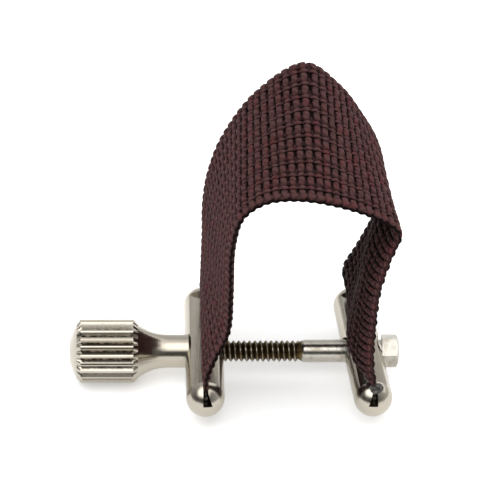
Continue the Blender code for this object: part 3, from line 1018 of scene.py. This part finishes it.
class LIGATURE_OT_adhesive(bpy.types.Operator):
    """Fill the slots beside the strap's ends with cured adhesive and smear it at the right bar's front"""

    bl_idname = "ligature.adhesive"
    bl_label = "Adhesive"

    def execute(self, context):
        bars = context.scene.ligature_bars
        strap = context.scene.ligature_strap
        finish = cured_adhesive(context.scene.ligature_colours)
        near = 2.0 * MM
        far = 11.0 * MM
        clear = 0.06 * MM
        low = bars.slot_height + 0.07 * MM
        high = 0.92 * MM
        half = bars.slot_mouth / 2 - clear
        for side_name, x, yaw in (("left", 0.0, 0.0), ("right", BAR_GAP, bars.yaw)):
            for end_name, side in (("front", -1), ("back", 1)):
                name = f"{side_name}_bond_{end_name}"
                ends = sorted((side * near, side * far))
                piece = lump(
                    name + "_cured", (-half, ends[0], low), (half, ends[1], high),
                    cuts=16, roughness=0.05 * MM, seed=3 + side,
                )
                if name == "right_bond_front":
                    self.smear(piece, strap, bars)
                move(piece, at(x), yaw)
                smooth(piece, 60.0)
                hand_over(piece, finish, "cured_adhesive", side_name + "_bar", name)
        return {"FINISHED"}

    def smear(self, piece, strap, bars):
        """Join a blob that squeezed out over the slot where the strap's front edge goes in."""
        centre = Vector((0.22 * MM, -strap.front + 0.2 * MM, bars.flat + 0.42 * MM))
        spread = (0.85, 0.62, 0.72)
        bpy.ops.object.select_all(action="DESELECT")
        bpy.ops.mesh.primitive_ico_sphere_add(subdivisions=4, radius=MM, location=centre)
        blob = bpy.context.object
        bpy.ops.object.transform_apply(location=True)
        bpy.ops.object.mode_set(mode="EDIT")
        bpy.ops.mesh.select_all(action="SELECT")
        bpy.ops.transform.resize(value=spread, center_override=centre)
        bpy.ops.transform.vertex_random(offset=0.14 * MM, uniform=0.3, normal=0.7, seed=11)
        bpy.ops.object.mode_set(mode="OBJECT")
        apply_modifier(blob, "SMOOTH", factor=0.5, iterations=1)
        bpy.ops.object.select_all(action="DESELECT")
        blob.select_set(True)
        piece.select_set(True)
        bpy.context.view_layer.objects.active = piece
        bpy.ops.object.join()


class LIGATURE_OT_strap_ends(bpy.types.Operator):
    """Seal the strap's two ends and set them in the slots"""

    bl_idname = "ligature.strap_ends"
    bl_label = "Strap ends"

    def execute(self, context):
        bars = context.scene.ligature_bars
        strap = context.scene.ligature_strap
        finish = melted_nylon(context.scene.ligature_colours)
        half = 0.25 * MM
        inset = 0.15 * MM
        floor = 1.0 * MM
        bolt_gap = 2.15 * MM
        bolt_top = 2.0 * MM
        for side_name, x, yaw in (("left", 0.0, 0.0), ("right", BAR_GAP, bars.yaw)):
            low = (-half, -strap.front + inset, floor)
            high = (half, strap.back - inset, strap.mouth + 0.5 * MM)
            piece = lump(f"strap_end_{side_name}", low, high, cuts=40, roughness=0.03 * MM, seed=7)
            cut(piece, block((-half * 4, -bolt_gap, 0.0), (half * 4, bolt_gap, bolt_top)))
            move(piece, at(x), yaw)
            smooth(piece, 60.0)
            hand_over(piece, finish, "woven_webbing", side_name + "_bar")
        return {"FINISHED"}


# ---------------------------------------------------------------- woven strap

# The strap's two edges from the left slot over the crown to the right slot: x from the left bar's axis and
# z from the bolt's axis, in millimetres.
FRONT_EDGE = (
    (0.0, 3.2), (0.2, 4.6), (1.1, 7.2), (2.6, 11.1), (2.85, 16.5), (2.9, 23.3), (4.0, 28.3), (7.0, 31.0),
    (11.2, 31.5), (15.6, 30.7), (20.0, 29.1), (23.0, 27.2), (23.7, 25.5), (22.7, 22.5), (21.5, 17.5),
    (21.1, 12.0), (21.0, 7.2), (21.3, 4.0),
)
BACK_EDGE = (
    (0.1, 3.2), (0.1, 5.0), (0.1, 8.0), (0.1, 12.0), (0.1, 17.0), (0.8, 22.0), (2.6, 27.4), (6.5, 33.7),
    (12.2, 38.1), (16.7, 34.8), (19.6, 30.4), (21.5, 26.7), (22.5, 23.2), (23.0, 19.5), (22.4, 14.8),
    (20.3, 9.5), (18.7, 6.1), (19.1, 4.0),
)
# Steps of the middle surface along and across the strap.
ALONG = 700
ACROSS = 24
# Sides of a yarn's tube.
YARN_SIDES = 8
# Each face of the weave: its side, where its yarns lie in a column, and where its rows lie between the rows
# of the other face, both as shares of the spacing.
WEAVE_FACES = ((1, 0.25, 0.0), (-1, 0.75, 0.5))
# Dye is 0 on a plain yarn, and 1 is as dark as it gets, and the same number also carries painted shade and
# light.
# The inner face is painted darker than the outer face as its shade, the edge wraps are painted lighter
# against their shade, a weft yarn is painted darkest where it dips under a warp end as the shade in that
# crease, and a warp end is painted lighter on its humps as a highlight and darker between them as shade. The
# sunk binders and the edge cords have a dye of their own.
INNER_FACE_SHADE = 0.4
EDGE_WRAP_LIGHT = 0.42
DIP_SHADE = 0.9
HUMP_SHADING = 0.35
BINDER_DYE = 0.3
CORD_DYE = 0.1


def eased(values):
    """Smooth step from 0 to 1."""
    share = np.clip(values, 0.0, 1.0)
    return share * share * (3 - 2 * share)


def smooth_edge(points, samples):
    """Evenly spaced points on a Catmull-Rom curve through the given points."""
    ends = np.vstack([2 * points[0] - points[1], points, 2 * points[-1] - points[-2]])
    per_stretch = 24
    steps = np.linspace(0, 1, per_stretch, endpoint=False)[:, None]
    stretches = []
    for a, b, c, d in zip(ends, ends[1:], ends[2:], ends[3:]):
        stretches.append(
            0.5 * (2 * b + (c - a) * steps + (2 * a - 5 * b + 4 * c - d) * steps**2
                   + (3 * b - 3 * c + d - a) * steps**3)
        )
    curve = np.vstack(stretches + [points[-1:]])
    gone = np.concatenate([[0], np.cumsum(np.linalg.norm(np.diff(curve, axis=0), axis=1))])
    wanted = np.linspace(0, gone[-1], samples)
    return np.stack([np.interp(wanted, gone, curve[:, axis]) for axis in range(3)], axis=1), gone[-1]


class StrapSurface:
    """The strap's middle surface, looked up by the share along it and the distance across it."""

    def __init__(self, sizes, bars):
        """Draw the surface between its edges, pulled in at the crown and hollow in its right leg."""
        share = np.linspace(0, 1, ALONG + 1)
        pull = sizes.pull * np.sin(np.pi * share)
        lean, square = math.sin(bars.yaw), math.cos(bars.yaw)
        edges = []
        lengths = []
        for outline, y, inward in ((BACK_EDGE, sizes.back, -1), (FRONT_EDGE, -sizes.front, 1)):
            feet = [(0.0, y, sizes.mouth), (BAR_GAP - y * lean, y * square, sizes.mouth)]
            middle = [(x * MM, y, z * MM) for x, z in outline]
            edge, total = smooth_edge(np.array([feet[0]] + middle + [feet[1]]), ALONG + 1)
            edge[:, 1] += inward * pull
            edges.append(edge)
            lengths.append(total)
        self.length = sum(lengths) / 2
        self.width = sizes.front + sizes.back
        self.sizes = sizes
        across = np.linspace(0, 1, ACROSS + 1)
        points = edges[0][:, None] * (1 - across[:, None]) + edges[1][:, None] * across[:, None]
        cup_from, cup_ease, foot_ease = 0.64, 0.14, 0.04
        leg = np.clip(np.minimum((share - cup_from) / cup_ease, (1 - share) / foot_ease), 0, 1)
        points[:, :, 0] -= sizes.cup * eased(leg)[:, None] * np.sin(np.pi * across**sizes.cup_lean)
        forward = np.gradient(points, axis=0)
        sideways = np.gradient(points, axis=1)
        out = np.cross(sideways, forward)
        self.points = points
        self.out = out / np.linalg.norm(out, axis=2, keepdims=True)
        self.sideways = sideways / np.linalg.norm(sideways, axis=2, keepdims=True)

    def looked_up(self, grid, along, across):
        """Values of a grid between its points."""
        i = np.clip(along, 0, 1) * ALONG
        j = np.clip(across / self.width + 0.5, 0, 1) * ACROSS
        i0 = np.minimum(i.astype(int), ALONG - 1)
        j0 = np.minimum(j.astype(int), ACROSS - 1)
        fi = (i - i0)[:, None]
        fj = (j - j0)[:, None]
        near = grid[i0, j0] * (1 - fj) + grid[i0, j0 + 1] * fj
        far = grid[i0 + 1, j0] * (1 - fj) + grid[i0 + 1, j0 + 1] * fj
        return near * (1 - fi) + far * fi

    def place(self, along, across, height, lift, spread):
        """Points at a height over the surface, the way each one faces, and the strap's squeeze there.

        The way it faces is lift times out of the surface and spread times across it.
        """
        centre = self.looked_up(self.points, along, across)
        out = self.looked_up(self.out, along, across)
        side = self.looked_up(self.sideways, along, across)
        squeeze = self.squeeze(centre[:, 2])
        points = centre + out * (height * squeeze)[:, None]
        facing = out * lift[:, None] + side * spread[:, None]
        return points, facing, squeeze

    def squeeze(self, height):
        """Share of the strap's whole thickness at a height over the bolt."""
        sizes = self.sizes
        thinnest = 0.4
        return thinnest + (1 - thinnest) * eased((height - sizes.mouth) / (sizes.full - sizes.mouth))


def tube(points, facing, wide, high, sides):
    """Rings of an oval yarn along points, flat side towards facing, with its faces and its UV."""
    forward = np.gradient(points, axis=0)
    forward /= np.linalg.norm(forward, axis=1, keepdims=True)
    side = np.cross(forward, facing)
    side /= np.linalg.norm(side, axis=1, keepdims=True)
    up = np.cross(side, forward)
    angles = np.linspace(0, math.tau, sides, endpoint=False)
    rings = (
        points[:, None]
        + side[:, None] * (np.cos(angles)[None, :] * wide[:, None])[:, :, None]
        + up[:, None] * (np.sin(angles)[None, :] * high[:, None])[:, :, None]
    )
    rows = len(points)
    index = np.arange(rows * sides).reshape(rows, sides)
    after = np.roll(index, -1, axis=1)
    faces = np.stack([index[:-1], after[:-1], after[1:], index[1:]], axis=2).reshape(-1, 4)
    gone = np.concatenate([[0], np.cumsum(np.linalg.norm(np.diff(points, axis=0), axis=1))]) / MM
    turn_share = np.arange(sides + 1) / sides
    u0 = np.tile(turn_share[:-1], rows - 1)
    u1 = np.tile(turn_share[1:], rows - 1)
    v0 = np.repeat(gone[:-1], sides)
    v1 = np.repeat(gone[1:], sides)
    corners = ((u0, v0), (u1, v0), (u1, v1), (u0, v1))
    uv = np.stack([np.stack(corner, 1) for corner in corners], axis=1)
    return rings.reshape(-1, 3), faces, uv.reshape(-1, 2)


def yarn_piece(name, yarns):
    """One mesh of many yarns: each is (points, facing, half widths, half heights, dye with painted shade and
    light).
    """
    vertices, faces, uvs, dye_and_shade_values, caps = [], [], [], [], []
    sides = YARN_SIDES
    start = 0
    for points, facing, wide, high, dye_and_shade in yarns:
        rings, quads, uv = tube(points, facing, wide, high, sides)
        vertices.append(rings)
        faces.append(quads + start)
        uvs.append(uv)
        dye_and_shade_values.append(np.repeat(dye_and_shade, sides))
        caps.append(list(range(start + sides - 1, start - 1, -1)))
        caps.append(list(range(start + len(rings) - sides, start + len(rings))))
        start += len(rings)
    vertices = np.vstack(vertices) + np.array(at(0.0))
    mesh = bpy.data.meshes.new(name)
    mesh.from_pydata(vertices.tolist(), [], np.vstack(faces).tolist() + caps)
    layer = mesh.uv_layers.new(name="yarn")
    flat_uv = np.zeros((len(mesh.loops), 2), np.float32)
    quads_uv = np.vstack(uvs)
    flat_uv[:len(quads_uv)] = quads_uv
    layer.data.foreach_set("uv", flat_uv.ravel())
    # Per-point dye together with the weave's painted shade and light.
    shade = mesh.attributes.new("dye_and_shade", "FLOAT", "POINT")
    shade.data.foreach_set("value", np.concatenate(dye_and_shade_values).astype(np.float32))
    mesh.shade_smooth()
    piece = bpy.data.objects.new(name, mesh)
    bpy.context.scene.collection.objects.link(piece)
    return piece


def float_share(sizes, across, phase):
    """How far a weft yarn is up in a float: 1 on a float and 0 under a warp end."""
    middle = (sizes.rows - 1) / 2
    row = across / sizes.row + middle + phase
    nearest = np.clip(np.round(row), 0, sizes.rows - 1)
    gap = np.abs(row - nearest) * sizes.row
    climb = 1.5 * sizes.warp_wide
    return eased((gap - sizes.warp_wide) / climb)


def weft_yarn(surface, sizes, first, last, random):
    """The weft from one column to another: over the outer face, round the front, under, and round the back.

    Each part of the yarn is its places along and across the strap, its height, the way it faces, its dye
    with its painted shade and light, and how plump it is.
    """
    columns = surface.length / sizes.column
    edge = surface.width / 2 - sizes.wrap - sizes.weft_high
    crossing_points = 104
    turn_points = 9
    crossing = np.linspace(-edge, edge, crossing_points)
    wrap = np.linspace(0, np.pi, turn_points)[1:-1]
    edge_ease = 0.8 * MM
    slip_spread = 0.035
    wander_spread = 0.03
    dye_spread = 0.07
    dip_plump = 0.55
    parts = []
    for column in range(first, last):
        slip = random.normal(0, slip_spread, 2)
        dye_and_shade = np.clip(random.normal(0.0, dye_spread, 2), -0.14, 0.2)
        for face_index, (face, offset, phase) in enumerate(WEAVE_FACES):
            across = crossing * face
            share = float_share(sizes, across, phase)
            low = sizes.dip_height + (sizes.float_height - sizes.dip_height) * share
            near_edge = eased((edge - np.abs(across)) / edge_ease)
            height = sizes.wrap + (low - sizes.wrap) * near_edge
            wander = wander_spread * np.sin(across / sizes.row * 1.7 + column * 2.4)
            same = np.full(len(across), float(face))
            # Painted shade: the inner face is darker, fading out towards the edges.
            face_shade = (INNER_FACE_SHADE if face < 0 else 0.0) * near_edge
            parts.append((
                (column + offset + slip[face_index] + wander) / columns,
                across,
                height * face,
                same,
                0 * same,
                # Painted shade: darkest where the weft dips under a warp end.
                dye_and_shade[face_index] + DIP_SHADE * (1 - share) + face_shade,
                dip_plump + (1 - dip_plump) * share,
            ))
            parts.append((
                (column + offset + 0.5 * wrap / np.pi) / columns,
                face * (edge + sizes.wrap * np.sin(wrap)),
                face * sizes.wrap * np.cos(wrap),
                face * np.cos(wrap),
                face * np.sin(wrap),
                # Painted light: the wraps round the edges are lighter, against their shade.
                np.full(len(wrap), dye_and_shade.mean() - EDGE_WRAP_LIGHT),
                np.ones(len(wrap)),
            ))
    along, across, height, lift, spread, dye_and_shade, plump = (np.concatenate(values) for values in zip(*parts))
    inside = np.clip(across, -edge, edge)
    points, facing, squeeze = surface.place(along, inside, height, lift, spread)
    points += surface.looked_up(surface.sideways, along, inside) * (across - inside)[:, None]
    wide = sizes.weft_wide * (0.9 + 0.1 * plump)
    high = sizes.weft_high * (0.45 + 0.55 * squeeze) * plump
    return points, facing, wide, high, dye_and_shade


def warp_yarns(surface, sizes, first, last, random):
    """The warp between two columns.

    The ends of both faces hump over the weft, binders swing in the gaps between them, and a cord lies inside
    each edge.
    """
    columns = surface.length / sizes.column
    middle = (sizes.rows - 1) / 2
    per_column = 8
    place = np.linspace(first, last, (last - first) * per_column + 1)
    flat = np.zeros(len(place))
    warp_height, hump_height = 0.27 * MM, 0.11 * MM
    hump_plump = 0.15
    wander_spread = 0.03 * MM
    dye_spread = 0.08
    binder_rise = 0.1 * MM
    binder_high = 0.12 * MM
    yarns = []
    for face, offset, phase in WEAVE_FACES:
        beat = place - offset
        for row in range(sizes.rows):
            across = (row - middle - phase) * sizes.row * face + wander_spread * np.sin(place * 2.3 + row)
            hump = np.cos(math.tau * beat)
            height = (warp_height + hump_height * hump) * face
            points, facing, squeeze = surface.place(place / columns, across, height, flat + face, flat)
            # Painted highlight on each warp end's humps and painted shade between them.
            dye_and_shade = np.clip(random.normal(0.0, dye_spread), -0.15, 0.2) - HUMP_SHADING * hump
            # Painted shade: the inner face's warp ends are darker.
            dye_and_shade += INNER_FACE_SHADE if face < 0 else 0.0
            wide = sizes.warp_wide * (1 + hump_plump * hump)
            yarns.append((points, facing, wide, sizes.warp_high * (0.5 + 0.5 * squeeze), dye_and_shade))
        for row in range(sizes.rows + 1):
            middle_of_float = (row - middle - phase - 0.5) * sizes.row * face + sizes.binder_shift
            across = middle_of_float + sizes.binder_swing * np.sin(np.pi * beat)
            height = binder_rise * (1 - np.cos(math.tau * beat)) * face
            points, facing, squeeze = surface.place(place / columns, across, height, flat + face, flat)
            yarns.append(
                (points, facing, flat + sizes.binder_wide, binder_high * squeeze, flat + BINDER_DYE)
            )
    cord_wide, cord_high = 1.1 * sizes.cord, 1.25 * sizes.cord
    for side in (-1, 1):
        across = flat + side * (surface.width / 2 - sizes.weft_high - sizes.cord)
        points, facing, squeeze = surface.place(place / columns, across, flat, flat + 1.0, flat)
        yarns.append((points, facing, flat + cord_wide, cord_high * squeeze, flat + CORD_DYE))
    return yarns


def core_sheet(name, surface, sizes, first, last):
    """Thin sheet in the strap's middle: the stuffer threads that close the weave, coloured as painted shade
    in its gaps.
    """
    columns = surface.length / sizes.column
    rows = 2 * (last - first) + 1
    inset = 0.55 * MM
    thick = 0.12 * MM
    across_points = 13
    across = np.linspace(-1, 1, across_points) * (surface.width / 2 - inset)
    vertices = []
    for share in np.linspace(first, last, rows) / columns:
        along = np.full(len(across), share)
        vertices.append(surface.looked_up(surface.points, along, across))
    vertices = np.vstack(vertices) + np.array(at(0.0))
    index = np.arange(len(vertices)).reshape(rows, len(across))
    corners = (index[:-1, :-1], index[:-1, 1:], index[1:, 1:], index[1:, :-1])
    faces = np.stack(corners, axis=2).reshape(-1, 4)
    mesh = bpy.data.meshes.new(name)
    mesh.from_pydata(vertices.tolist(), [], faces.tolist())
    mesh.shade_smooth()
    piece = bpy.data.objects.new(name, mesh)
    bpy.context.scene.collection.objects.link(piece)
    apply_modifier(piece, "SOLIDIFY", thickness=thick, offset=0.0)
    return piece


class LIGATURE_OT_strap(bpy.types.Operator):
    """Weave the strap in two halves that meet at the crown"""

    bl_idname = "ligature.strap"
    bl_label = "Woven strap"

    def execute(self, context):
        sizes = context.scene.ligature_strap
        colours = context.scene.ligature_colours
        surface = StrapSurface(sizes, context.scene.ligature_bars)
        random = np.random.default_rng(seed=5)
        cord = nylon_cord("twisted_nylon_weft", colours, darken=0.12)
        thin = nylon_cord("twisted_nylon_warp", colours, darken=0.25)
        # The stuffer sheet's near-black colour is painted shade for the gaps in the weave.
        stuffer_shade = stuffer_shade_cloth()
        columns = int(surface.length / sizes.column)
        crown = columns // 2
        for half, first, last in (("left", 0, crown), ("right", crown, columns)):
            weft = yarn_piece("strap_weft_" + half, [weft_yarn(surface, sizes, first, last, random)])
            warp = yarn_piece("strap_warp_" + half, warp_yarns(surface, sizes, first, last, random))
            core = core_sheet("strap_core_" + half, surface, sizes, first, last)
            hand_over(weft, cord, "woven_webbing", None)
            hand_over(warp, thin, "woven_webbing", None)
            hand_over(core, stuffer_shade, "woven_webbing", None)
            for piece in (weft, warp, core):
                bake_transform(piece)
            if half == "left":
                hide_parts("band")
        return {"FINISHED"}


# ---------------------------------------------------------------- stage


class LIGATURE_OT_stage(bpy.types.Operator):
    """Set the floor, the lights and the camera"""

    bl_idname = "ligature.stage"
    bl_label = "Stage"

    def execute(self, context):
        settings = context.scene.ligature_stage
        self.floor(settings)
        self.sky(context)
        self.lights()
        self.camera(context, settings)
        context.scene.view_settings.view_transform = "Standard"
        context.scene.view_settings.look = "None"
        return {"FINISHED"}

    def floor(self, settings):
        """Wide pale floor under the knob."""
        bpy.ops.object.select_all(action="DESELECT")
        gap = 0.05 * MM
        bpy.ops.mesh.primitive_plane_add(size=6.0, location=(0, 0, -gap))
        floor = bpy.context.object
        floor.name = "floor"
        bpy.ops.object.transform_apply(location=True)
        floor.data.materials.append(glowing_board(settings))

    def sky(self, context):
        """Dim room, darker in front and on the left than behind, with a wide glowing panel overhead.

        The room's light and the panel's are strengths over the cosines of the angles to their middles.
        """
        world = bpy.data.worlds.new("studio")
        context.scene.world = world
        world.use_nodes = True
        tree = world.node_tree
        place = add(tree, "ShaderNodeTexCoord").outputs["Generated"]
        rear = Vector((0.45, 0.89, 0.0)).normalized()
        behind = add(tree, "ShaderNodeVectorMath", {0: place, 1: tuple(rear)}, operation="DOT_PRODUCT")
        room = add(
            tree, "ShaderNodeMapRange",
            {
                "Value": behind.outputs["Value"], "From Min": -0.8, "From Max": 0.8,
                "To Min": 0.08, "To Max": 0.85,
            },
        )
        panel = Vector((-0.26, -0.35, 0.9)).normalized()
        facing = add(tree, "ShaderNodeVectorMath", {0: place, 1: tuple(panel)}, operation="DOT_PRODUCT")
        glow = add(
            tree, "ShaderNodeMapRange",
            {
                "Value": facing.outputs["Value"], "From Min": 0.78, "From Max": 0.95,
                "To Min": 0.0, "To Max": 1.9,
            },
            interpolation_type="SMOOTHSTEP",
        )
        level = add(tree, "ShaderNodeMath", {0: room.outputs[0], 1: glow.outputs[0]}, operation="ADD")
        background = tree.nodes["Background"]
        background.inputs["Color"].default_value = (1.0, 1.0, 1.0, 1.0)
        tree.links.new(level.outputs[0], background.inputs["Strength"])

    def lights(self):
        """Large key softbox overhead towards the front, and a weaker one behind on the right."""
        target = Vector((0, 0, 0.015))
        for name, place, size, power in (
            ("key", (-0.1, -0.25, 0.9), 1.3, 3.8),
            ("fill", (0.5, 0.3, 0.7), 1.0, 2.2),
        ):
            bpy.ops.object.light_add(type="AREA", location=place)
            lamp = bpy.context.object
            lamp.name = name
            lamp.data.size = size
            lamp.data.energy = power
            aim = target - Vector(place)
            lamp.rotation_euler = aim.to_track_quat("-Z", "Y").to_euler()

    def camera(self, context, settings):
        """Camera on the object's front, looking down at it."""
        turn_about, rise, roll = settings.azimuth, settings.elevation, settings.roll
        ahead = Vector((math.sin(turn_about), math.cos(turn_about), 0))
        view = ahead * math.cos(rise) - Vector((0, 0, math.sin(rise)))
        level = Vector((math.cos(turn_about), -math.sin(turn_about), 0))
        upright = level.cross(view)
        right = level * math.cos(roll) + upright * math.sin(roll)
        up = upright * math.cos(roll) - level * math.sin(roll)
        aim = at(0.0) + right * settings.aim_right + up * settings.aim_up
        bpy.ops.object.camera_add(location=aim - view * settings.distance)
        camera = bpy.context.object
        camera.rotation_euler = Matrix((right, up, -view)).transposed().to_euler()
        camera.data.lens = settings.lens
        camera.data.clip_start = 0.01
        context.scene.camera = camera


class LIGATURE_PT_panel(bpy.types.Panel):
    """Lists the ligature's pieces"""

    bl_idname = "LIGATURE_PT_panel"
    bl_label = "Ligature"
    bl_space_type = "VIEW_3D"
    bl_region_type = "UI"
    bl_category = "Ligature"

    def draw(self, context):
        """Show each group of settings over the buttons that use it."""
        for name, operators in PANEL_ROWS:
            group = getattr(context.scene, name)
            box = self.layout.box()
            for key in group.__annotations__:
                box.prop(group, key)
            for operator in operators:
                box.operator(operator)


PROPERTY_GROUPS = {
    "ligature_bars": BarSizes,
    "ligature_bolt": BoltSizes,
    "ligature_knob": KnobSizes,
    "ligature_strap": StrapSizes,
    "ligature_colours": FinishColours,
    "ligature_stage": StageSettings,
}
OPERATORS = (
    LIGATURE_OT_bars,
    LIGATURE_OT_bolt,
    LIGATURE_OT_knob,
    LIGATURE_OT_adhesive,
    LIGATURE_OT_strap_ends,
    LIGATURE_OT_strap,
    LIGATURE_OT_stage,
)
PANEL_ROWS = (
    ("ligature_bars", ("ligature.bars", "ligature.adhesive")),
    ("ligature_bolt", ("ligature.bolt",)),
    ("ligature_knob", ("ligature.knob",)),
    ("ligature_strap", ("ligature.strap_ends", "ligature.strap")),
    ("ligature_colours", ()),
    ("ligature_stage", ("ligature.stage",)),
)


def register():
    """Register the classes and hang the property groups on the scene."""
    for group in PROPERTY_GROUPS.values():
        bpy.utils.register_class(group)
    for operator in OPERATORS:
        bpy.utils.register_class(operator)
    bpy.utils.register_class(LIGATURE_PT_panel)
    for name, group in PROPERTY_GROUPS.items():
        setattr(bpy.types.Scene, name, bpy.props.PointerProperty(type=group))


def unregister():
    """Take the property groups off the scene and unregister the classes."""
    for name in PROPERTY_GROUPS:
        delattr(bpy.types.Scene, name)
    bpy.utils.unregister_class(LIGATURE_PT_panel)
    for operator in reversed(OPERATORS):
        bpy.utils.unregister_class(operator)
    for group in reversed(PROPERTY_GROUPS.values()):
        bpy.utils.unregister_class(group)


def main():
    """Build every piece and the stage."""
    register()
    bpy.ops.ligature.bars()
    bpy.ops.ligature.bolt()
    bpy.ops.ligature.knob()
    bpy.ops.ligature.adhesive()
    bpy.ops.ligature.strap_ends()
    bpy.ops.ligature.strap()
    bpy.ops.ligature.stage()


if __name__ == "__main__":
    main()
